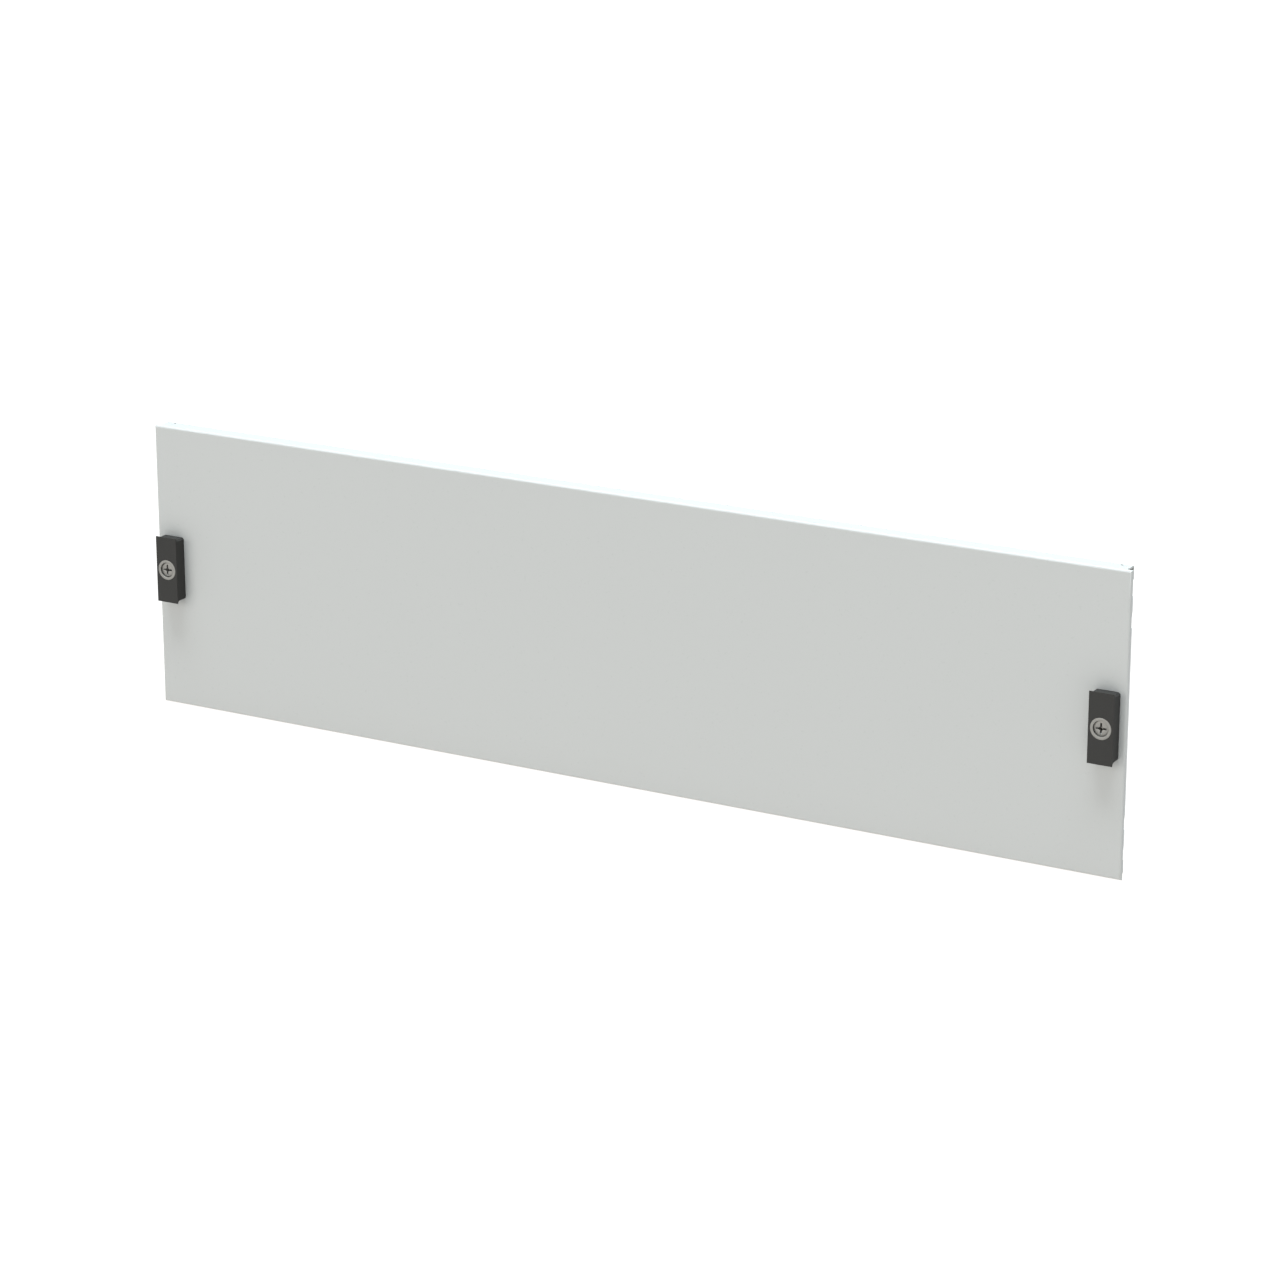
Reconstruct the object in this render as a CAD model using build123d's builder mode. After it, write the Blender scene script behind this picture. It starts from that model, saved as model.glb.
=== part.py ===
from build123d import *
import os
from math import cos, radians, sin, sqrt

os.makedirs("parts", exist_ok=True)

# Frame: +X to the right and +Z up as the panel is seen from the front, +Y back into the rack.
# The plane y = 0 is where the return lips meet the mounting rails. The origin is midway between
# the axes of the two locks.

# Cover sheet
rack_units = 3
unit_height = 44.45
unit_clearance = 0.35
panel_width = 482.6
sheet = 0.8
bend_inner_r = 0.3
panel_depth = 8.4
lip_height = 6.0
flange_end_inset = 2.7
side_lean = 20.5
side_end_gap = 13.0
side_short = 0.2
end_tab = 6.5
notch_width = 7.1
hang_hole_d = 1.2
hang_hole_from_side = 7.2
hang_hole_from_front = 6.2

# Moulded block of a lock
lock_from_side = 8.75
block_width = 11.1
block_height = 31.0
block_depth = 6.4
lip_edge = 0.3
cove_depth = 2.3
cove_step = 0.8
flare_steps = 4
block_corner = 0.8
lip_corner = 0.05
block_wall = 1.1
block_face = 1.3
peg_pitch = 20.6
peg_d = 2.0
peg_length = 1.5
peg_post_d = 3.2
rib = 0.8

# Metal bush, turn screw and what they carry
rim_d = 9.4
rim_depth = 3.3
head_d = 6.7
head_sunk = 0.5
head_thick = 1.85
head_chamfer = 0.9
head_chamfer_rise = 0.25
recess_span = 5.1
recess_wing = 0.8
recess_depth = 2.0
recess_tip_span = 1.7
recess_tip_wing = 0.5
recess_core_d = 1.9
recess_core_tip_d = 0.9
bush_d = 6.6
bush_floor = 0.6
bush_past_sheet = 6.2
shank_d = 4.6
stop_core_d = 3.3
neck_d = 3.7
stop_length = 2.0
stop_lug_angle = 60.0
lock_turn = 45.0
cam_seat_flats = 2.6
cam_seat_d = 3.2
seat_gap = 0.1
grip = 2.3
tap_d = 1.6
tap_depth = 2.9
spring_sheet = 0.2
ring_width = 0.8
ring_section = 0.75
ring_from_head = 2.7
tooth_washer_d = 9.8
tooth_washer_thick = 0.5
tooth_count = 10
tooth_gap = 0.9
tooth_length = 1.0
nut_flats = 9.0
nut_thick = 2.2
rail_hole = 9.5
cam_width = 5.0
cam_thick = 2.0
cam_ramp = 0.4
cam_screw_d = 2.0
cam_screw_flats = 3.6
cam_screw_head = 1.4
cam_screw_length = 3.1
cam_washer_d = 4.4
cam_washer_thick = 0.6
cam_washer_split = 0.4

# Clearances
running_fit = 0.05
slip_fit = 0.05
hole_fit = 0.1
axial_play = 0.05
cam_pass = 0.2
stop_play_angle = 0.5

# Derived places along the locks' axis
front_y = -panel_depth
sheet_back_y = front_y + sheet
block_front_y = front_y - block_depth
rim_back_y = block_front_y + rim_depth
bush_floor_y = rim_back_y - bush_floor
bush_end_y = sheet_back_y + bush_past_sheet
stop_front_y = bush_end_y - stop_length
head_front_y = block_front_y + head_sunk
head_back_y = head_front_y + head_thick
cam_front_y = grip
cam_back_y = cam_front_y + cam_thick
seat_end_y = cam_back_y - seat_gap
ring_front_y = head_back_y + ring_from_head
ring_back_y = ring_front_y + ring_width

# Derived places across the panel
panel_height = rack_units * unit_height - unit_clearance
bend_r = bend_inner_r + sheet
half_width = panel_width / 2
half_height = panel_height / 2
flange_length = panel_width - 2 * flange_end_inset
side_flange_length = panel_height - 2 * side_end_gap
lock_x = half_width - lock_from_side
body_height = block_height - 2 * cove_step

# The longest cam of its width, round at its ends, that goes through a rail's hole along its diagonal
cam_length = sqrt(2) * rail_hole - (sqrt(2) - 1) * cam_width - 2 * cam_pass


# The front, its four bends and the flanges come from one tray whose wall is the sheet
with BuildPart() as cover_sheet:
    with BuildSketch(Plane.XZ.offset(-front_y)):
        Rectangle(panel_width, panel_height)
    extrude(amount=-(panel_depth - bend_r))
    front_face = cover_sheet.faces().sort_by(Axis.Y)[0]
    fillet(front_face.edges(), bend_r)
    tray_mouth = cover_sheet.faces().sort_by(Axis.Y)[-1]
    offset(amount=-sheet, openings=tray_mouth)

    # Each side wall is cut down to its bend, and the flanges end short of the sides
    for side in (-1, 1):
        with BuildSketch(Plane.XY.offset(-half_height)):
            with Locations((side * half_width, (front_y + bend_r) / 2)):
                Rectangle(2 * flange_end_inset, -(front_y + bend_r))
        extrude(amount=panel_height, mode=Mode.SUBTRACT)

    # Return lips at the back of the top and bottom flanges, with the bend before them
    with BuildSketch(Plane.YZ.offset(-flange_length / 2)):
        for turn in (-1, 1):
            bend_y, bend_z = -bend_r, turn * (half_height - bend_r)
            with Locations((bend_y, bend_z)):
                Circle(bend_r)
                Circle(bend_inner_r, mode=Mode.SUBTRACT)
            with Locations((bend_y - bend_r / 2, bend_z)):
                Rectangle(bend_r, 2 * bend_r, mode=Mode.SUBTRACT)
            with Locations((bend_y / 2, bend_z - turn * bend_r / 2)):
                Rectangle(bend_r, bend_r, mode=Mode.SUBTRACT)
            lip_flat = lip_height - bend_r
            with Locations((-sheet / 2, bend_z - turn * lip_flat / 2)):
                Rectangle(sheet, lip_flat)
    extrude(amount=flange_length)

    # Side flanges: their bends go on past a right angle, so that they lean in towards the back
    leaf = (panel_depth - bend_r - side_short - bend_r * sin(radians(side_lean))) / cos(radians(side_lean))
    with BuildSketch(Plane.XY.offset(-side_flange_length / 2)):
        for side in (-1, 1):
            bend_x, bend_y = side * (half_width - bend_r), front_y + bend_r
            with Locations(Location((bend_x, bend_y, 0), (0, 0, side * side_lean))):
                Circle(bend_r)
                Circle(bend_inner_r, mode=Mode.SUBTRACT)
                with Locations((0, bend_r / 2)):
                    Rectangle(2 * bend_r, bend_r, mode=Mode.SUBTRACT)
                with Locations((side * (bend_r - sheet / 2), leaf / 2)):
                    Rectangle(sheet, leaf)
            with Locations((bend_x - side * bend_r / 2, bend_y - bend_r / 2)):
                Rectangle(bend_r, bend_r, mode=Mode.SUBTRACT)
    extrude(amount=side_flange_length)

    # Two notches in each side flange, down to its bend, leave a tab at each end
    notch_z = side_flange_length / 2 - end_tab - notch_width / 2
    with BuildSketch(Plane.YZ.offset(-half_width)):
        with Locations(((front_y + bend_r) / 2, 0)):
            with GridLocations(0, 2 * notch_z, 1, 2):
                Rectangle(-(front_y + bend_r), notch_width)
    extrude(amount=panel_width, mode=Mode.SUBTRACT)

    # Holes for the locks' bushes and for the pegs of their blocks
    lock_places = [(-lock_x, 0), (lock_x, 0)]
    with BuildSketch(Plane.XZ.offset(-front_y)):
        with Locations(*lock_places):
            Circle(bush_d / 2 + hole_fit)
            with GridLocations(0, peg_pitch, 1, 2):
                Circle(peg_d / 2 + hole_fit)
    extrude(amount=-sheet, mode=Mode.SUBTRACT)

    # Holes by which the panel hangs while it is coated, one near each end of both flanges
    with BuildSketch(Plane.XY.offset(-half_height)):
        with Locations((0, front_y + hang_hole_from_front)):
            with GridLocations(2 * (half_width - hang_hole_from_side), 0, 2, 1):
                Circle(hang_hole_d / 2)
    extrude(amount=panel_height, mode=Mode.SUBTRACT)

cover_sheet.part.label = "cover_sheet"
export_step(cover_sheet.part, "parts/cover_sheet.step")


def corner_points(reach, from_angle, to_angle):
    """Points of a wedge about a lock's axis, in a sketch that faces back into the rack."""
    middle = (from_angle + to_angle) / 2
    rim = [(reach * cos(radians(a)), -reach * sin(radians(a))) for a in (from_angle, middle, to_angle)]
    return [(0, 0), *rim]


def cut_corner_section(width, height, corner):
    """A rectangle with its corners cut at 45 degrees, in the sketch being drawn."""
    section = Rectangle(width, height)
    chamfer(section.vertices(), corner)


def hexagon_corner(flats):
    """The radius of a hexagon's corners and the height lost at them to a 30 degree chamfer."""
    corner_r = flats / sqrt(3)
    return corner_r, (corner_r - flats / 2) / sqrt(3)


for side, side_name in ((-1, "left"), (1, "right")):
    axis_x = side * lock_x
    lock_axis = Axis((axis_x, 0, 0), (0, 1, 0))
    # Turned profiles are drawn as radius and y in this plane and turned about the lock's axis
    turning = Plane(origin=(axis_x, 0, 0), x_dir=(1, 0, 0), z_dir=(0, 0, 1))
    # Sections across the lock's axis face back into the rack
    across = Plane(origin=(axis_x, 0, 0), x_dir=(1, 0, 0), z_dir=(0, 1, 0))

    # Moulded block: a body with cut corners that flares through a cove to a sharp front lip
    with BuildPart() as latch_housing:
        cove_front = block_front_y + lip_edge
        cove_back = cove_front + cove_depth
        with BuildSketch(across.offset(front_y)):
            cut_corner_section(block_width, body_height, block_corner)
        for step in range(flare_steps + 1):
            share = step / flare_steps
            rise = 1 - cos(radians(90 * share))
            with BuildSketch(across.offset(cove_back - cove_depth * sin(radians(90 * share)))):
                corner = block_corner + (lip_corner - block_corner) * rise
                cut_corner_section(block_width, body_height + 2 * cove_step * rise, corner)
        loft(ruled=True)
        with BuildSketch(across.offset(block_front_y)):
            Rectangle(block_width, block_height)
        extrude(amount=lip_edge)

        # Hollow behind the face, above and below the bush, with a post and a rib to carry each peg
        pocket_end = body_height / 2 - block_wall
        pocket_start = rim_d / 2 + block_wall
        with BuildSketch(across.offset(front_y)):
            for end in (-1, 1):
                with Locations((0, end * (pocket_end + pocket_start) / 2)):
                    Rectangle(block_width - 2 * block_wall, pocket_end - pocket_start)
                with Locations((0, end * peg_pitch / 2)):
                    Circle(peg_post_d / 2, mode=Mode.SUBTRACT)
                    Rectangle(block_width, rib, mode=Mode.SUBTRACT)
        extrude(amount=-(block_depth - block_face), mode=Mode.SUBTRACT)
        with BuildSketch(across.offset(front_y)):
            with GridLocations(0, peg_pitch, 1, 2):
                Circle(peg_d / 2)
        extrude(amount=peg_length)
        peg_tips = latch_housing.faces().sort_by(Axis.Y)[-2:]
        chamfer(peg_tips.edges(), (peg_length - sheet) / 2)

        with Locations(Plane(origin=(axis_x, block_front_y, 0), x_dir=(1, 0, 0), z_dir=(0, -1, 0))):
            CounterBoreHole(bush_d / 2 + slip_fit, rim_d / 2 + slip_fit, rim_depth, block_depth)
    latch_housing.part.label = f"latch_housing_{side_name}"
    export_step(latch_housing.part, f"parts/latch_housing_{side_name}.step")

    # Metal bush: its rim shows in the block's face, and its end holds the pocket that stops the screw
    with BuildPart() as guide_bush:
        recess_r = head_d / 2 + hole_fit
        bore_r = shank_d / 2 + running_fit
        end_bore_r = neck_d / 2 + running_fit
        with BuildSketch(turning):
            with BuildLine():
                Polyline(
                    (recess_r, block_front_y),
                    (rim_d / 2, block_front_y),
                    (rim_d / 2, rim_back_y),
                    (bush_d / 2, rim_back_y),
                    (bush_d / 2, bush_end_y),
                    (end_bore_r, bush_end_y),
                    (end_bore_r, stop_front_y),
                    (bore_r, stop_front_y),
                    (bore_r, bush_floor_y),
                    (recess_r, bush_floor_y),
                    close=True,
                )
            make_face()
        revolve(axis=lock_axis)
        open_angle = lock_turn + stop_lug_angle + 2 * stop_play_angle
        with BuildSketch(across.offset(stop_front_y)):
            Circle(bore_r)
            Polygon(
                *corner_points(2 * shank_d, -open_angle / 2, open_angle / 2),
                align=None,
                mode=Mode.INTERSECT,
            )
        extrude(amount=stop_length, mode=Mode.SUBTRACT)
    guide_bush.part.label = f"guide_bush_{side_name}"
    export_step(guide_bush.part, f"parts/guide_bush_{side_name}.step")

    # Turn screw: sunk head with a cross recess, ring groove, stop lug, neck and square seat for the cam
    with BuildPart() as turn_screw:
        groove_r = shank_d / 2 - ring_section
        head_r = head_d / 2
        with BuildSketch(turning):
            with BuildLine():
                Polyline(
                    (0, head_front_y),
                    (head_r - head_chamfer, head_front_y),
                    (head_r, head_front_y + head_chamfer_rise),
                    (head_r, head_back_y),
                    (shank_d / 2, head_back_y),
                    (shank_d / 2, ring_front_y - hole_fit),
                    (groove_r, ring_front_y - hole_fit),
                    (groove_r, ring_back_y + hole_fit),
                    (shank_d / 2, ring_back_y + hole_fit),
                    (shank_d / 2, stop_front_y - axial_play),
                    (stop_core_d / 2, stop_front_y - axial_play),
                    (stop_core_d / 2, bush_end_y),
                    (neck_d / 2, bush_end_y),
                    (neck_d / 2, cam_front_y),
                    (0, cam_front_y),
                    close=True,
                )
            make_face()
        revolve(axis=lock_axis)
        with BuildSketch(across.offset(cam_front_y)):
            Rectangle(cam_seat_flats, cam_seat_flats)
            Circle(cam_seat_d / 2, mode=Mode.INTERSECT)
        extrude(amount=seat_end_y - cam_front_y)
        lug_start = -lock_turn / 2 - stop_lug_angle / 2
        with BuildSketch(across.offset(stop_front_y - axial_play)):
            Circle(shank_d / 2)
            Polygon(
                *corner_points(2 * shank_d, lug_start, lug_start + stop_lug_angle),
                align=None,
                mode=Mode.INTERSECT,
            )
        extrude(amount=stop_length)
        with Locations(Plane(origin=(axis_x, seat_end_y, 0), x_dir=(1, 0, 0), z_dir=(0, 1, 0))):
            Hole(tap_d / 2, tap_depth)

        # Cross recess: two tapered slots and a tapered core
        for slot_turn in (0, 90):
            for depth, span, wing in (
                (0, recess_span, recess_wing),
                (recess_depth, recess_tip_span, recess_tip_wing),
            ):
                with BuildSketch(across.offset(head_front_y + depth)):
                    Rectangle(span, wing, rotation=slot_turn)
            loft(mode=Mode.SUBTRACT)
        with BuildSketch(across.offset(head_front_y)):
            Circle(recess_core_d / 2)
        with BuildSketch(across.offset(head_front_y + recess_depth)):
            Circle(recess_core_tip_d / 2)
        loft(mode=Mode.SUBTRACT)
    turn_screw.part.label = f"turn_screw_{side_name}"
    export_step(turn_screw.part, f"parts/turn_screw_{side_name}.step")

    # Disc spring between the screw's head and the bush's floor
    with BuildPart() as disc_spring:
        spring_in_r = shank_d / 2 + hole_fit
        spring_out_r = head_d / 2 - hole_fit
        spring_front = head_back_y + axial_play
        spring_back = bush_floor_y - axial_play
        with BuildSketch(turning):
            with BuildLine():
                Polyline(
                    (spring_in_r, spring_front),
                    (spring_in_r, spring_front + spring_sheet),
                    (spring_out_r, spring_back),
                    (spring_out_r, spring_back - spring_sheet),
                    close=True,
                )
            make_face()
        revolve(axis=lock_axis)
    disc_spring.part.label = f"disc_spring_{side_name}"
    export_step(disc_spring.part, f"parts/disc_spring_{side_name}.step")

    # Friction ring in the screw's groove, of the square section that is cut from rubber tube
    with BuildPart() as friction_ring:
        with BuildSketch(across.offset(ring_front_y)):
            Circle(groove_r + ring_section + running_fit / 2)
            Circle(groove_r + running_fit / 2, mode=Mode.SUBTRACT)
        extrude(amount=ring_width)
    friction_ring.part.label = f"friction_ring_{side_name}"
    export_step(friction_ring.part, f"parts/friction_ring_{side_name}.step")

    # Tooth washer on the back of the sheet
    with BuildPart() as tooth_washer:
        with BuildSketch(across.offset(sheet_back_y)):
            Circle(tooth_washer_d / 2)
            Circle(bush_d / 2 + hole_fit, mode=Mode.SUBTRACT)
            with PolarLocations(tooth_washer_d / 2, tooth_count):
                Rectangle(2 * tooth_length, tooth_gap, mode=Mode.SUBTRACT)
        extrude(amount=tooth_washer_thick)
    tooth_washer.part.label = f"tooth_washer_{side_name}"
    export_step(tooth_washer.part, f"parts/tooth_washer_{side_name}.step")

    # Thin hexagon nut, its corners turned off at the back
    with BuildPart() as bush_nut:
        nut_front_y = sheet_back_y + tooth_washer_thick
        nut_back_y = nut_front_y + nut_thick
        nut_corner_r, nut_loss = hexagon_corner(nut_flats)
        with BuildSketch(across.offset(nut_front_y)):
            RegularPolygon(nut_corner_r, 6, rotation=30)
            Circle(bush_d / 2 + slip_fit, mode=Mode.SUBTRACT)
        extrude(amount=nut_thick)
        with BuildSketch(turning):
            with BuildLine():
                Polyline(
                    (0, nut_front_y),
                    (nut_corner_r, nut_front_y),
                    (nut_corner_r, nut_back_y - nut_loss),
                    (nut_flats / 2, nut_back_y),
                    (0, nut_back_y),
                    close=True,
                )
            make_face()
        revolve(axis=lock_axis, mode=Mode.INTERSECT)
    bush_nut.part.label = f"bush_nut_{side_name}"
    export_step(bush_nut.part, f"parts/bush_nut_{side_name}.step")

    # Cam: goes through a square hole of the rail on its diagonal, then stands upright behind the rail
    with BuildPart() as lock_cam:
        with BuildSketch(across.offset(cam_front_y)):
            SlotOverall(cam_length, cam_width, rotation=90)
            Rectangle(cam_seat_flats + 2 * slip_fit, cam_seat_flats + 2 * slip_fit, mode=Mode.SUBTRACT)
        extrude(amount=cam_thick)
        front_edges = lock_cam.faces().sort_by(Axis.Y)[0].outer_wire().edges()
        chamfer(front_edges, cam_ramp)
    lock_cam.part.label = f"lock_cam_{side_name}"
    export_step(lock_cam.part, f"parts/lock_cam_{side_name}.step")

    # Split washer behind the cam
    with BuildPart() as cam_washer:
        with BuildSketch(across.offset(cam_back_y)):
            Circle(cam_washer_d / 2)
            Circle(cam_screw_d / 2 + hole_fit, mode=Mode.SUBTRACT)
        extrude(amount=cam_washer_thick)
        with BuildSketch(Plane(origin=(axis_x, cam_back_y, 0), x_dir=(1, 0, 0), z_dir=(0, 0, 1))):
            with Locations((0, cam_washer_thick / 2)):
                Rectangle(cam_washer_split, 3 * cam_washer_thick, rotation=30)
        extrude(amount=cam_washer_d, mode=Mode.SUBTRACT)
    cam_washer.part.label = f"cam_washer_{side_name}"
    export_step(cam_washer.part, f"parts/cam_washer_{side_name}.step")

    # Hexagon screw in the end of the turn screw, over the washer and the cam
    with BuildPart() as cam_screw:
        cam_head_y = cam_back_y + cam_washer_thick
        cam_head_end = cam_head_y + cam_screw_head
        cam_head_r, cam_head_loss = hexagon_corner(cam_screw_flats)
        with BuildSketch(across.offset(cam_head_y)):
            RegularPolygon(cam_head_r, 6)
        extrude(amount=cam_screw_head)
        with BuildSketch(turning):
            with BuildLine():
                Polyline(
                    (0, cam_head_y),
                    (cam_head_r, cam_head_y),
                    (cam_head_r, cam_head_end - cam_head_loss),
                    (cam_screw_flats / 2, cam_head_end),
                    (0, cam_head_end),
                    close=True,
                )
            make_face()
        revolve(axis=lock_axis, mode=Mode.INTERSECT)
        with BuildSketch(across.offset(cam_head_y)):
            Circle(tap_d / 2 - running_fit)
        extrude(amount=-cam_screw_length)
    cam_screw.part.label = f"cam_screw_{side_name}"
    export_step(cam_screw.part, f"parts/cam_screw_{side_name}.step")
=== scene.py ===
"""Looks of a rack cover panel with a turn lock at each side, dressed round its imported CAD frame."""

import logging
import math
from abc import ABC, abstractmethod
from dataclasses import dataclass, field
from enum import Enum
from typing import Union

import bmesh
import bpy
import numpy as np
from mathutils import Matrix, Vector


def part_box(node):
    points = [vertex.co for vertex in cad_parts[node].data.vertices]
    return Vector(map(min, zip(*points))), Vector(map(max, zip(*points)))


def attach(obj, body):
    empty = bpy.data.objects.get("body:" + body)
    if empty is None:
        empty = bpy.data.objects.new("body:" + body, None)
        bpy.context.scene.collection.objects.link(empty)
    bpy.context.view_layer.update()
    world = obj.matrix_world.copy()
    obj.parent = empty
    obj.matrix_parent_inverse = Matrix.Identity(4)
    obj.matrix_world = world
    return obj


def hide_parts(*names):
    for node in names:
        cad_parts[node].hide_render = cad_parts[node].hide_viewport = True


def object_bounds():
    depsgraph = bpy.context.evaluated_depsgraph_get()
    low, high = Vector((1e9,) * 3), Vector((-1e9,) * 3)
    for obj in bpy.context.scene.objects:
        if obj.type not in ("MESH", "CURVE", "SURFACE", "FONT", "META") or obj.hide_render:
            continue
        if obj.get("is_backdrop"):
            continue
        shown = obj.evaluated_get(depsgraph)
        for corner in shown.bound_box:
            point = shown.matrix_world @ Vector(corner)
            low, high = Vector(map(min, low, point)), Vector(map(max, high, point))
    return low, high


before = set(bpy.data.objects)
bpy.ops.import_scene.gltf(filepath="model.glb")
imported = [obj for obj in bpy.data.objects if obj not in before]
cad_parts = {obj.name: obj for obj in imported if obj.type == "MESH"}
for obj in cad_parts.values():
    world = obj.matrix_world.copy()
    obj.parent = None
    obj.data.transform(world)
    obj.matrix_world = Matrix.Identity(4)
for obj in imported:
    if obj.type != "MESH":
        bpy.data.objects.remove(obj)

log = logging.getLogger("cover_panel")

MM = 0.001
PANEL_BODY = "panel"
ACROSS_AXIS = (1.0, 0.0, 1.0)

# How the copy of a CAD node is made ready for its rounded edges
MERGE_DISTANCE = 0.0005 * MM
FLAT_ANGLE = math.radians(1.0)
EDGE_ANGLE = math.radians(40.0)
EDGE_SEGMENTS = 2

Triple = tuple[float, float, float]
Tone = Triple
Spread = tuple[float, float]
Value = Union["Shade", float, tuple[float, ...]]


class Side(Enum):
    """The side of the panel that a lock is on, as seen from the front."""

    LEFT = "left"
    RIGHT = "right"


class Slot(Enum):
    """Names of the material slots, one carried by each finish."""

    COAT = "powder_coat"
    PLASTIC = "black_plastic"
    PLATED = "plated_metal"
    ZINC = "zinc_steel"
    SPRING = "spring_steel"
    RUBBER = "rubber"


# Shader maths


def colour(tone: Tone, factor: float = 1.0) -> tuple[float, ...]:
    """A tone times a factor, as an opaque colour."""
    return (*(factor * part for part in tone), 1.0)


@dataclass(frozen=True)
class Grain:
    """Noise of one size: its scale on a metre, its octaves and how strong the finer ones are."""

    per_metre: float
    detail: float = 2.0
    roughness: float = 0.5


class Shade:
    """An output socket in a material, which can be used in sums as a number can."""

    def __init__(self, graph: "Graph", socket: bpy.types.NodeSocket) -> None:
        """Keeps the graph and its output socket."""
        self.graph = graph
        self.socket = socket

    def _sum(self, operation: str, first: Value, second: Value) -> "Shade":
        """The result of a new Math node on two operands."""
        return self.graph.node("ShaderNodeMath", {"operation": operation}, {0: first, 1: second})

    def __add__(self, other: Value) -> "Shade":
        """self + other."""
        return self._sum("ADD", self, other)

    def __radd__(self, other: Value) -> "Shade":
        """other + self."""
        return self._sum("ADD", other, self)

    def __sub__(self, other: Value) -> "Shade":
        """self - other."""
        return self._sum("SUBTRACT", self, other)

    def __rsub__(self, other: Value) -> "Shade":
        """other - self."""
        return self._sum("SUBTRACT", other, self)

    def __mul__(self, other: Value) -> "Shade":
        """self * other."""
        return self._sum("MULTIPLY", self, other)

    def __rmul__(self, other: Value) -> "Shade":
        """other * self."""
        return self._sum("MULTIPLY", other, self)


class Graph:
    """The node tree of one material, with its Principled shader."""

    def __init__(self, name: str) -> None:
        """Starts a new material.

        Args:
            name: the material's name.
        """
        self.material = bpy.data.materials.new(name)
        self.material.use_nodes = True
        self.tree = self.material.node_tree
        self.shader = next(n for n in self.tree.nodes if n.type == "BSDF_PRINCIPLED")

    def node(
        self,
        kind: str,
        settings: dict | None = None,
        inputs: dict | None = None,
        out: str | int = 0,
    ) -> Shade:
        """Adds a node: its settings first, then what goes into its sockets.

        Args:
            kind: the node's type.
            settings: properties to set; "stops" holds a ramp's places and colours.
            inputs: a value or a Shade for each socket's name or number.
            out: the output that is handed on, by name or number.

        Returns:
            The chosen output.
        """
        made = self.tree.nodes.new(kind)
        for key, value in (settings or {}).items():
            if key == "stops":
                ramp = made.color_ramp.elements
                while len(ramp) < len(value):
                    ramp.new(1.0)
                for stop, (place, shown) in zip(ramp, value):
                    stop.position, stop.color = place, shown
            else:
                setattr(made, key, value)
        for key, value in (inputs or {}).items():
            self.feed(made.inputs[key], value)
        return Shade(self, made.outputs[out])

    def feed(self, socket: bpy.types.NodeSocket, value: Value) -> None:
        """Links a Shade to an input, or sets the input to a plain value.

        Args:
            socket: the input.
            value: a Shade, a number or a tuple.
        """
        if isinstance(value, Shade):
            self.tree.links.new(value.socket, socket)
        else:
            socket.default_value = value

    def surface(self, **sockets: Value) -> bpy.types.Material:
        """Sets the Principled shader's sockets, whose names have _ for a space.

        Args:
            **sockets: a value or a Shade for each socket.

        Returns:
            The finished material.
        """
        for key, value in sockets.items():
            self.feed(self.shader.inputs[key.replace("_", " ")], value)
        return self.material

    def place(self, scale: Triple = (1.0, 1.0, 1.0)) -> Shade:
        """Object coordinates, stretched by a factor along each axis."""
        spot = self.node("ShaderNodeTexCoord", out="Object")
        return self.node("ShaderNodeMapping", {}, {"Vector": spot, "Scale": scale})

    def noise(self, grain: Grain, place: Shade | None = None) -> Shade:
        """Noise from 0 to 1.

        Args:
            grain: the noise's size.
            place: the coordinates, the object's own unless given.

        Returns:
            The noise's value.
        """
        values = {
            "Vector": place or self.place(),
            "Scale": grain.per_metre,
            "Detail": grain.detail,
            "Roughness": grain.roughness,
        }
        return self.node("ShaderNodeTexNoise", {}, values, "Fac")

    def ramp(self, value: Shade, spread: Spread) -> Shade:
        """A value spread from 0 at the spread's first number to 1 at its second, and kept between."""
        values = {"Value": value, "From Min": spread[0], "From Max": spread[1]}
        return self.node("ShaderNodeMapRange", {"clamp": True}, values)

    def mix(self, share: Value, first: Value, second: Value) -> Shade:
        """A mix of two colours by the share of the second, whose sockets go by number."""
        settings = {"data_type": "RGBA", "blend_type": "MIX"}
        return self.node("ShaderNodeMix", settings, {0: share, 6: first, 7: second}, 2)

    def bump(self, height: Shade, depth: float) -> Shade:
        """A normal bumped by a height from 0 to 1, where 1 stands for the depth in metres."""
        return self.node("ShaderNodeBump", {}, {"Height": height, "Distance": depth})


# Finishes


@dataclass(frozen=True)
class Finish(ABC):
    """A finish that pieces are painted with."""

    name: str
    slot: Slot

    @abstractmethod
    def shade(self, graph: Graph) -> bpy.types.Material:
        """Builds the material's nodes.

        Args:
            graph: an empty graph.

        Returns:
            The finished material.
        """

    def material(self) -> bpy.types.Material:
        """The finish's material, built when it is first asked for."""
        return bpy.data.materials.get(self.name) or self.shade(Graph(self.name))

    def paint(self, piece: bpy.types.Object) -> None:
        """Gives the finish to a piece, in place of any material it has.

        Args:
            piece: the piece.
        """
        if not piece.material_slots:
            piece.data.materials.append(None)
        for place in piece.material_slots:
            place.material = self.material()


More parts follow.
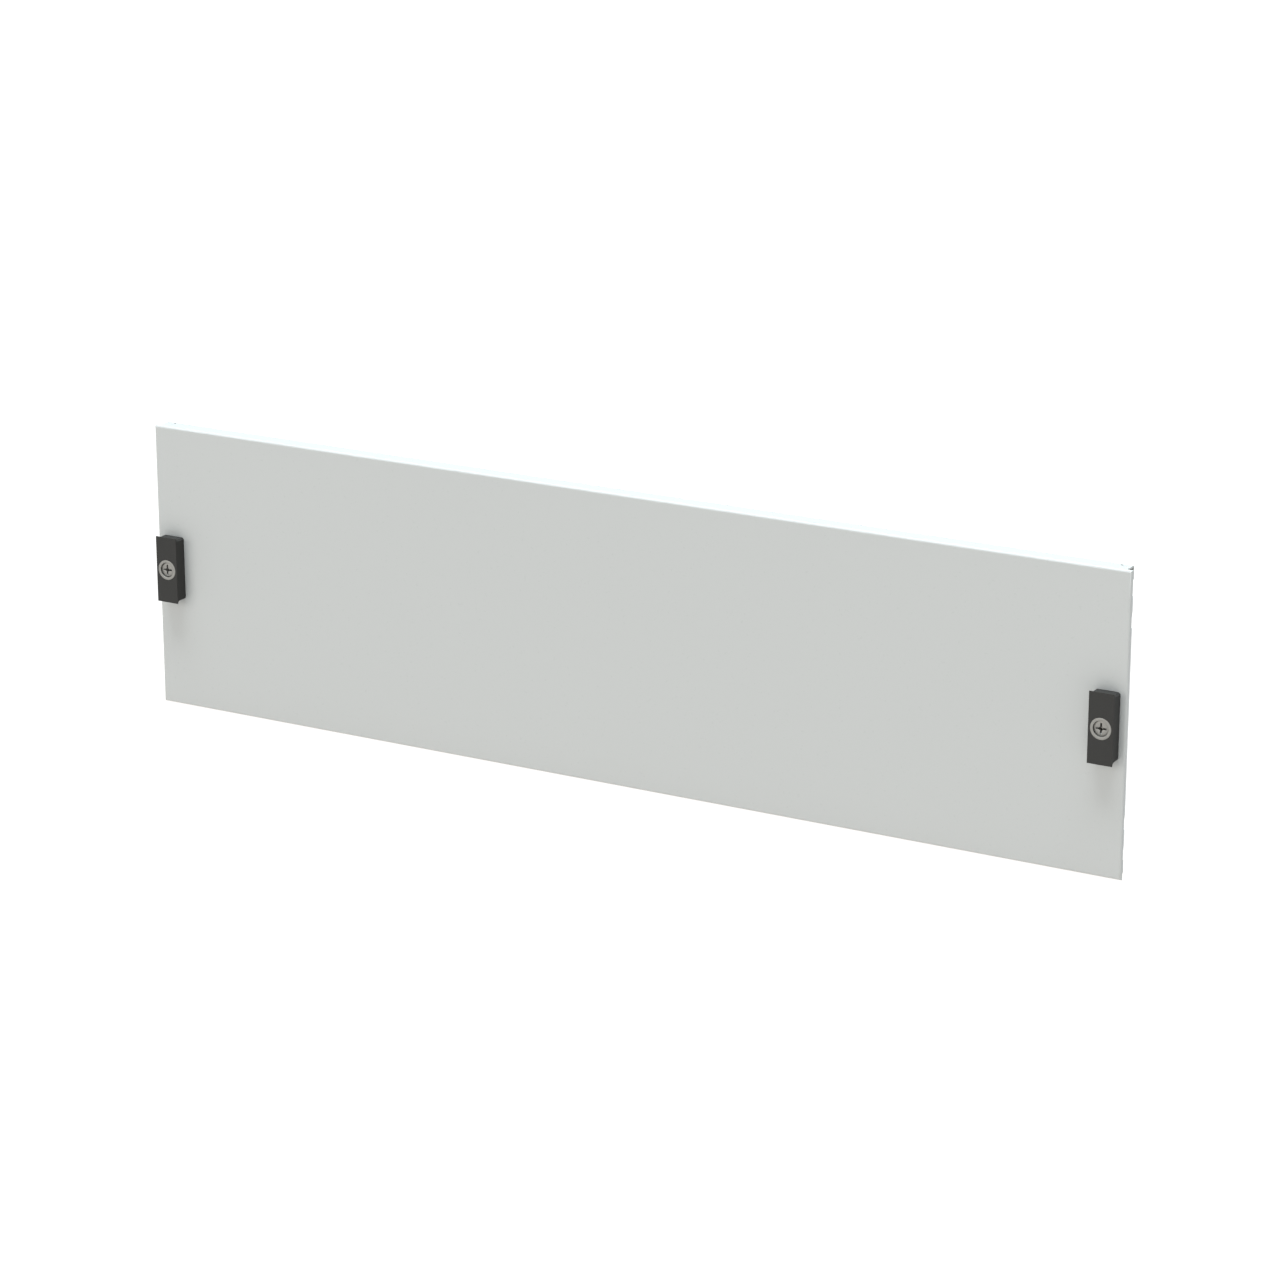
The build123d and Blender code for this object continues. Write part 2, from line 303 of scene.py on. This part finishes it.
@dataclass(frozen=True)
class PowderCoat(Finish):
    """Baked powder: a satin skin with a fine orange peel and a barely uneven tone."""

    tone: Tone = (0.465, 0.463, 0.442)
    darkest: float = 0.975
    cloud: Grain = Grain(14.0, detail=3.0)
    cloud_share: float = 0.5
    speck: Grain = Grain(5200.0, roughness=0.6)
    speck_spread: Spread = (0.3, 0.7)
    speck_depth: float = 0.003 * MM
    peel: Grain = Grain(900.0, roughness=0.45)
    peel_depth: float = 0.012 * MM
    smoothest: float = 0.25
    peel_roughness: float = 0.08
    specular: float = 0.22

    def shade(self, graph: Graph) -> bpy.types.Material:
        """Cloudy and speckled tone; the height is the peel plus the finer specks.

        Args:
            graph: an empty graph.

        Returns:
            The finished material.
        """
        cloud = graph.noise(self.cloud)
        speck = graph.noise(self.speck)
        peel = graph.noise(self.peel)
        specks = (1.0 - self.cloud_share) * graph.ramp(speck, self.speck_spread)
        share = self.cloud_share * cloud + specks
        height = peel + self.speck_depth / self.peel_depth * speck
        return graph.surface(
            Base_Color=graph.mix(share, colour(self.tone, self.darkest), colour(self.tone)),
            Roughness=self.smoothest + self.peel_roughness * peel,
            Normal=graph.bump(height, self.peel_depth),
            Specular_IOR_Level=self.specular,
        )


@dataclass(frozen=True)
class MouldedPlastic(Finish):
    """Glass-filled plastic from a spark-eroded mould: matt pits and slightly polished high spots."""

    tone: Tone = (0.0370, 0.0355, 0.0330)
    lightest: float = 1.28
    pits_per_metre: float = 4200.0
    pit_blend: float = 0.6
    pit_spread: Spread = (0.1, 0.7)
    pit_tint: float = 0.35
    pit_height: float = 0.7
    pores: Grain = Grain(9240.0)
    pore_height: float = 0.5
    relief_spread: Spread = (0.2, 0.9)
    relief_roughness: float = 0.18
    relief_depth: float = 0.012 * MM
    flow: Grain = Grain(160.0, detail=4.0, roughness=0.6)
    flow_stretch: Triple = (1.0, 1.0, 0.35)
    flow_tint: float = 0.4
    flow_polish: float = 0.06
    smoothest: float = 0.46
    specular: float = 0.06

    def shade(self, graph: Graph) -> bpy.types.Material:
        """Pits and pores make the relief, and pits and flow marks lift the tone a little.

        Args:
            graph: an empty graph.

        Returns:
            The finished material.
        """
        pits = graph.node(
            "ShaderNodeTexVoronoi",
            {"feature": "SMOOTH_F1"},
            {"Vector": graph.place(), "Scale": self.pits_per_metre, "Smoothness": self.pit_blend},
            "Distance",
        )
        flow = graph.noise(self.flow, graph.place(self.flow_stretch))
        relief = self.pit_height * pits + self.pore_height * graph.noise(self.pores)
        share = self.pit_tint * graph.ramp(pits, self.pit_spread) + self.flow_tint * flow
        matt = self.relief_roughness * graph.ramp(relief, self.relief_spread)
        return graph.surface(
            Base_Color=graph.mix(share, colour(self.tone), colour(self.tone, self.lightest)),
            Roughness=self.smoothest + matt - self.flow_polish * flow,
            Normal=graph.bump(relief, self.relief_depth),
            Specular_IOR_Level=self.specular,
        )


@dataclass(frozen=True)
class TurnedMetal(Finish):
    """Turned and plated metal, whose fine rings run round the lock's own axis."""

    axis_x: float = 0.0
    tone: Tone = (0.30, 0.29, 0.268)
    darkest: float = 0.82
    rings: Grain = Grain(2600.0, detail=3.0, roughness=0.65)
    ring_share: float = 0.5
    ring_depth: float = 0.003 * MM
    ring_roughness: float = 0.06
    depth_squeeze: float = 0.6
    blots: Grain = Grain(420.0, detail=3.0, roughness=0.6)
    blot_spread: Spread = (0.3, 0.62)
    blot_roughness: float = 0.14
    smoothest: float = 0.46

    def shade(self, graph: Graph) -> bpy.types.Material:
        """Rings from noise on the distance to the axis and on the place along it.

        Args:
            graph: an empty graph.

        Returns:
            The finished material.
        """
        spot = graph.node("ShaderNodeTexCoord", out="Object")
        foot = (self.axis_x, 0.0, 0.0)
        arm = graph.node("ShaderNodeVectorMath", {"operation": "SUBTRACT"}, {0: spot, 1: foot})
        across = graph.node("ShaderNodeVectorMath", {"operation": "MULTIPLY"}, {0: arm, 1: ACROSS_AXIS})
        radius = graph.node("ShaderNodeVectorMath", {"operation": "LENGTH"}, {0: across}, "Value")
        depth = graph.node("ShaderNodeSeparateXYZ", {}, {0: arm}, "Y")
        turned = {"X": radius, "Y": self.depth_squeeze * depth, "Z": 0.0}
        rings = graph.noise(self.rings, graph.node("ShaderNodeCombineXYZ", {}, turned))
        blot = graph.noise(self.blots)
        share = self.ring_share * rings + (1.0 - self.ring_share) * graph.ramp(blot, self.blot_spread)
        return graph.surface(
            Base_Color=graph.mix(share, colour(self.tone, self.darkest), colour(self.tone)),
            Metallic=1.0,
            Roughness=self.smoothest + self.blot_roughness * blot + self.ring_roughness * rings,
            Normal=graph.bump(rings, self.ring_depth),
        )


@dataclass(frozen=True)
class ZincPlate(Finish):
    """Bright zinc with a thin yellowish passivation that pools in patches."""

    tone: Tone = (0.58, 0.60, 0.62)
    yellowed: Tone = (0.62, 0.57, 0.44)
    yellow_share: float = 0.55
    patches: Grain = Grain(260.0, detail=4.0, roughness=0.6)
    patch_spread: Spread = (0.42, 0.72)
    patch_roughness: float = 0.08
    stamping: Grain = Grain(3800.0, detail=3.0, roughness=0.7)
    stamping_roughness: float = 0.2
    stamping_depth: float = 0.004 * MM
    smoothest: float = 0.28

    def shade(self, graph: Graph) -> bpy.types.Material:
        """Patches of passivation over a fine stamped grain.

        Args:
            graph: an empty graph.

        Returns:
            The finished material.
        """
        patch = graph.ramp(graph.noise(self.patches), self.patch_spread)
        grain = graph.noise(self.stamping)
        return graph.surface(
            Base_Color=graph.mix(self.yellow_share * patch, colour(self.tone), colour(self.yellowed)),
            Metallic=1.0,
            Roughness=self.smoothest + self.stamping_roughness * grain + self.patch_roughness * patch,
            Normal=graph.bump(grain, self.stamping_depth),
        )


@dataclass(frozen=True)
class SpringSteel(Finish):
    """Hardened strip, oiled, with the straw, brown and blue that tempering leaves."""

    bands: Grain = Grain(300.0, detail=3.0)
    band_roughness: float = 0.12
    smoothest: float = 0.32
    temper: tuple[tuple[float, Tone], ...] = (
        (0.30, (0.30, 0.30, 0.31)),
        (0.50, (0.33, 0.27, 0.17)),
        (0.62, (0.20, 0.15, 0.12)),
        (0.75, (0.13, 0.15, 0.24)),
    )

    def shade(self, graph: Graph) -> bpy.types.Material:
        """Temper colours in soft bands.

        Args:
            graph: an empty graph.

        Returns:
            The finished material.
        """
        band = graph.noise(self.bands)
        stops = [(place, colour(tone)) for place, tone in self.temper]
        tempered = graph.node("ShaderNodeValToRGB", {"stops": stops}, {"Fac": band}, "Color")
        roughness = self.smoothest + self.band_roughness * band
        return graph.surface(Base_Color=tempered, Metallic=1.0, Roughness=roughness)


@dataclass(frozen=True)
class Rubber(Finish):
    """Matt black rubber with a dusty bloom."""

    tone: Tone = (0.018, 0.018, 0.018)
    dusty: Tone = (0.045, 0.044, 0.042)
    bloom: Grain = Grain(900.0, detail=3.0)
    bloom_spread: Spread = (0.4, 0.8)
    bloom_roughness: float = 0.1
    pores: Grain = Grain(5000.0)
    pore_depth: float = 0.006 * MM
    smoothest: float = 0.72

    def shade(self, graph: Graph) -> bpy.types.Material:
        """Bloom lightens the tone a little in patches, over fine pores.

        Args:
            graph: an empty graph.

        Returns:
            The finished material.
        """
        bloom = graph.ramp(graph.noise(self.bloom), self.bloom_spread)
        return graph.surface(
            Base_Color=graph.mix(bloom, colour(self.tone), colour(self.dusty)),
            Roughness=self.smoothest + self.bloom_roughness * bloom,
            Normal=graph.bump(graph.noise(self.pores), self.pore_depth),
        )


COAT = PowderCoat("coat_light_grey", Slot.COAT)
PLASTIC = MouldedPlastic("plastic_black", Slot.PLASTIC)
ZINC = ZincPlate("zinc_passivated", Slot.ZINC)
SPRING = SpringSteel("spring_strip", Slot.SPRING)
RUBBER = Rubber("ring_rubber", Slot.RUBBER)


# Meshes


def placed(name: str, mesh: bpy.types.Mesh) -> bpy.types.Object:
    """A new object at the origin, in the scene, with smooth faces.

    Args:
        name: the object's name.
        mesh: its mesh.

    Returns:
        The new object.
    """
    mesh.polygons.foreach_set("use_smooth", np.ones(len(mesh.polygons), dtype=bool))
    made = bpy.data.objects.new(name, mesh)
    bpy.context.scene.collection.objects.link(made)
    return made


def surface_grid(points: np.ndarray, name: str, closed: bool) -> bpy.types.Object:
    """A mesh of a surface that was worked out on a grid, with a face between each four neighbours.

    Args:
        points: the grid's points in metres, as an array of rows by columns by 3.
        name: the new object's name.
        closed: True if each row is a closed ring and the last row joins the first.

    Returns:
        The new object.
    """
    rows, columns = points.shape[:2]
    number = np.arange(rows * columns).reshape(rows, columns)
    if closed:
        number = np.pad(number, ((0, 1), (0, 1)), mode="wrap")
    corners = [number[:-1, :-1], number[:-1, 1:], number[1:, 1:], number[1:, :-1]]
    quads = np.stack(corners, axis=-1).reshape(-1, 4)
    mesh = bpy.data.meshes.new(name)
    mesh.from_pydata(points.reshape(-1, 3).tolist(), [], quads.tolist())
    return placed(name, mesh)


def softened(node: str, edge_r: float, name: str, body: str) -> bpy.types.Object:
    """A copy of a CAD node with its edges rounded, which stands for the node.

    The node's loose triangles are merged, those that lie flat beside each other are joined, and
    faces of more than four corners are split again.

    Args:
        node: the CAD node.
        edge_r: the width of the rounding, in metres.
        name: the copy's name.
        body: the CAD body that it rides on.

    Returns:
        The new object.
    """
    work = bmesh.new()
    work.from_mesh(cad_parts[node].data)
    bmesh.ops.remove_doubles(work, verts=work.verts, dist=MERGE_DISTANCE)
    bmesh.ops.dissolve_limit(work, angle_limit=FLAT_ANGLE, verts=work.verts, edges=work.edges)
    bmesh.ops.triangulate(work, faces=[f for f in work.faces if len(f.verts) > 4])
    mesh = bpy.data.meshes.new(name)
    work.to_mesh(mesh)
    work.free()
    piece = placed(name, mesh)
    bevel = piece.modifiers.new("edge_round", "BEVEL")
    bevel.width, bevel.segments = edge_r, EDGE_SEGMENTS
    bevel.limit_method, bevel.angle_limit = "ANGLE", EDGE_ANGLE
    normals = piece.modifiers.new("edge_normals", "WEIGHTED_NORMAL")
    normals.keep_sharp = True
    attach(piece, body)
    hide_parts(node)
    return piece


# The panel's sub-assemblies


@dataclass
class CoverPanel:
    """The folded and coated sheet."""

    name: str = "cover_sheet"
    edge_r: float = 0.15 * MM
    pieces: list[bpy.types.Object] = field(default_factory=list)

    def build(self) -> None:
        """Coats the folded sheet, whose cut edges the powder rounds."""
        sheet = softened(self.name, self.edge_r, f"{self.name}_finished", PANEL_BODY)
        COAT.paint(sheet)
        self.pieces.append(sheet)


@dataclass
class TurnLock:
    """One lock: its moulded block, its metal bush and what turns in it.

    The thread's sink is the share of its height that its ends lie below the bush's surface.
    """

    side: Side
    block_edge_r: float = 0.12 * MM
    turned_edge_r: float = 0.07 * MM
    steel_edge_r: float = 0.10 * MM
    bush_r: float = 3.3 * MM
    thread_pitch: float = 0.75 * MM
    thread_height: float = 0.20 * MM
    thread_lead_in: float = 0.5 * MM
    thread_sink: float = 0.05
    thread_inner_r: float = 2.9 * MM
    thread_rows: int = 120
    thread_columns: int = 64
    pieces: list[bpy.types.Object] = field(default_factory=list)

    @property
    def name(self) -> str:
        """The lock's name, which is also that of the CAD body that turns."""
        return f"{self.side.value}_lock"

    @property
    def axis_x(self) -> float:
        """The place of the lock's axis across the panel, from the cam's box."""
        low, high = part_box(self.node("lock_cam"))
        return (low.x + high.x) / 2

    def node(self, kind: str) -> str:
        """The name of this side's CAD node of a kind, such as lock_cam."""
        return f"{kind}_{self.side.value}"

    def build(self) -> None:
        """Rounds and paints the lock's CAD nodes, and adds the bush's thread."""
        turned = TurnedMetal(f"nickel_turned_{self.side.value}", Slot.PLATED, axis_x=self.axis_x)
        for kind, edge_r, body, finish in (
            ("latch_housing", self.block_edge_r, PANEL_BODY, PLASTIC),
            ("guide_bush", self.turned_edge_r, PANEL_BODY, turned),
            ("bush_nut", self.steel_edge_r, PANEL_BODY, ZINC),
            ("turn_screw", self.turned_edge_r, self.name, turned),
            ("lock_cam", self.steel_edge_r, self.name, ZINC),
            ("cam_screw", self.steel_edge_r, self.name, ZINC),
        ):
            piece = softened(self.node(kind), edge_r, f"{kind}_finished_{self.side.value}", body)
            finish.paint(piece)
            self.pieces.append(piece)
        for kind, finish in (
            ("tooth_washer", ZINC),
            ("cam_washer", ZINC),
            ("disc_spring", SPRING),
            ("friction_ring", RUBBER),
        ):
            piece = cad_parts[self.node(kind)]
            finish.paint(piece)
            self.pieces.append(piece)
        self.bush_thread(turned)

    def bush_thread(self, finish: Finish) -> None:
        """The thread that shows on the bush between its nut and its end.

        The surface is a function of the turn t and the place y along the axis: its radius is the
        bush's, plus the thread's height times a triangle wave of y / pitch - t, and the height
        fades to the sink over the lead-in at both ends. The first and the last ring lie inside
        the bush's wall, and joining them closes the surface.

        Args:
            finish: the bush's finish.
        """
        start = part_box(self.node("bush_nut"))[1].y
        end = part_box(self.node("guide_bush"))[1].y
        turn = np.linspace(0.0, 1.0, self.thread_columns, endpoint=False)[None, :]
        place = np.linspace(start, end, self.thread_rows)[:, None]
        wave = np.abs(2.0 * ((place / self.thread_pitch - turn) % 1.0) - 1.0)
        fade = np.clip(np.minimum(place - start, end - place) / self.thread_lead_in, 0.0, 1.0)
        radius = self.bush_r + self.thread_height * (wave * fade - self.thread_sink * (1.0 - fade))
        radius[[0, -1]] = self.thread_inner_r
        angle = 2.0 * math.pi * turn
        across = self.axis_x + radius * np.cos(angle)
        along = np.broadcast_to(place, radius.shape)
        points = np.stack([across, along, radius * np.sin(angle)], axis=-1)
        outwards = points[:, ::-1]
        piece = surface_grid(outwards, f"bush_thread_{self.side.value}", closed=True)
        finish.paint(piece)
        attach(piece, PANEL_BODY)
        self.pieces.append(piece)


# Stage


@dataclass(frozen=True)
class FarLight:
    """A distant light: its angles in degrees, and its strength on a surface that faces it."""

    name: str
    azimuth: float
    rise: float
    softness: float
    power: float
    tone: Tone


@dataclass
class Studio:
    """A pale floor, a cool light overhead, a warm one in front and the photograph's camera."""

    floor_drop: float = 0.2 * MM
    floor_half: float = 40.0
    floor_points: int = 3
    floor_cloud: Grain = Grain(1.2)
    floor_darkest: Tone = (0.095, 0.095, 0.095)
    floor_lightest: Tone = (0.105, 0.105, 0.105)
    floor_roughness: float = 0.9
    floor_specular: float = 0.1
    glow_tone: Tone = (1.0, 0.985, 0.96)
    glow_strength: float = 0.96
    sky_tone: Tone = (0.74, 0.88, 1.0)
    sky_strength: float = 0.45
    lights: tuple[FarLight, ...] = (
        FarLight("overhead", azimuth=0.0, rise=88.0, softness=40.0, power=6.8, tone=(0.86, 0.94, 1.0)),
        FarLight("front_left", azimuth=-22.0, rise=8.0, softness=50.0, power=1.6, tone=(1.0, 0.965, 0.93)),
    )
    aim: Triple = (14.0 * MM, -8.4 * MM, 2.49 * MM)
    azimuth: float = 29.492
    elevation: float = 17.436
    roll: float = -0.038
    distance: float = 1.7527
    lens: float = 113.90
    sensor: float = 36.0
    nearest: float = 0.05
    farthest: float = 50.0

    def build(self) -> None:
        """Builds the stage round the finished object."""
        self.floor()
        self.sky()
        for light in self.lights:
            self.far_light(light)
        self.camera()

    def floor(self) -> None:
        """A flat, faintly glowing floor just under the panel's lower edge.

        The surface is a square grid across x and y, at one height.
        """
        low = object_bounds()[0]
        side = np.linspace(-self.floor_half, self.floor_half, self.floor_points)
        across, along = np.meshgrid(side, side)
        points = np.stack([across, along, np.full_like(across, low.z - self.floor_drop)], axis=-1)
        plane = surface_grid(points, "floor", closed=False)
        graph = Graph("floor_paper")
        tones = colour(self.floor_darkest), colour(self.floor_lightest)
        plane.data.materials.append(
            graph.surface(
                Base_Color=graph.mix(graph.noise(self.floor_cloud), *tones),
                Roughness=self.floor_roughness,
                Specular_IOR_Level=self.floor_specular,
                Emission_Color=colour(self.glow_tone),
                Emission_Strength=self.glow_strength,
            )
        )
        plane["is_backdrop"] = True

    def sky(self) -> None:
        """Dim, bluish surroundings, which tint the shade."""
        world = bpy.data.worlds.new("studio")
        bpy.context.scene.world = world
        world.use_nodes = True
        sky = world.node_tree.nodes["Background"]
        sky.inputs["Color"].default_value = colour(self.sky_tone)
        sky.inputs["Strength"].default_value = self.sky_strength

    def far_light(self, light: FarLight) -> None:
        """Adds a distant light with soft edges.

        Args:
            light: its place, size, strength and tone.
        """
        sun = bpy.data.lights.new(light.name, "SUN")
        sun.energy, sun.angle, sun.color = light.power, math.radians(light.softness), light.tone
        lamp = bpy.data.objects.new(light.name, sun)
        bpy.context.scene.collection.objects.link(lamp)
        lamp.rotation_mode = "QUATERNION"
        lamp.rotation_quaternion = self.towards(light.azimuth, light.rise).to_track_quat("Z", "Y")

    @staticmethod
    def towards(azimuth: float, rise: float) -> Vector:
        """The unit vector at degrees from the front towards +X and degrees above the floor."""
        turn, lift = math.radians(azimuth), math.radians(rise)
        return Vector((math.sin(turn) * math.cos(lift), -math.cos(turn) * math.cos(lift), math.sin(lift)))

    def camera(self) -> None:
        """The camera, placed by its angles and distance from the point it is aimed at."""
        data = bpy.data.cameras.new("camera")
        data.lens, data.sensor_width = self.lens, self.sensor
        data.clip_start, data.clip_end = self.nearest, self.farthest
        camera = bpy.data.objects.new("camera", data)
        bpy.context.scene.collection.objects.link(camera)
        back = self.towards(self.azimuth, self.elevation)
        camera.rotation_mode = "QUATERNION"
        camera.location = Vector(self.aim) + back * self.distance
        rolled = Matrix.Rotation(math.radians(self.roll), 4, "Z").to_quaternion()
        camera.rotation_quaternion = (-back).to_track_quat("-Z", "Y") @ rolled
        bpy.context.scene.camera = camera
        bpy.context.scene.view_settings.view_transform = "Standard"


def main() -> None:
    """Dresses the panel and its locks, reports each piece, and sets the stage."""
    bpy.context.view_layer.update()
    for part in (CoverPanel(), *(TurnLock(side) for side in Side)):
        part.build()
        for piece in part.pieces:
            log.info("%s: %s, %d faces", part.name, piece.name, len(piece.data.polygons))
    Studio().build()


if __name__ == "__main__":
    logging.basicConfig(level=logging.INFO)
    main()
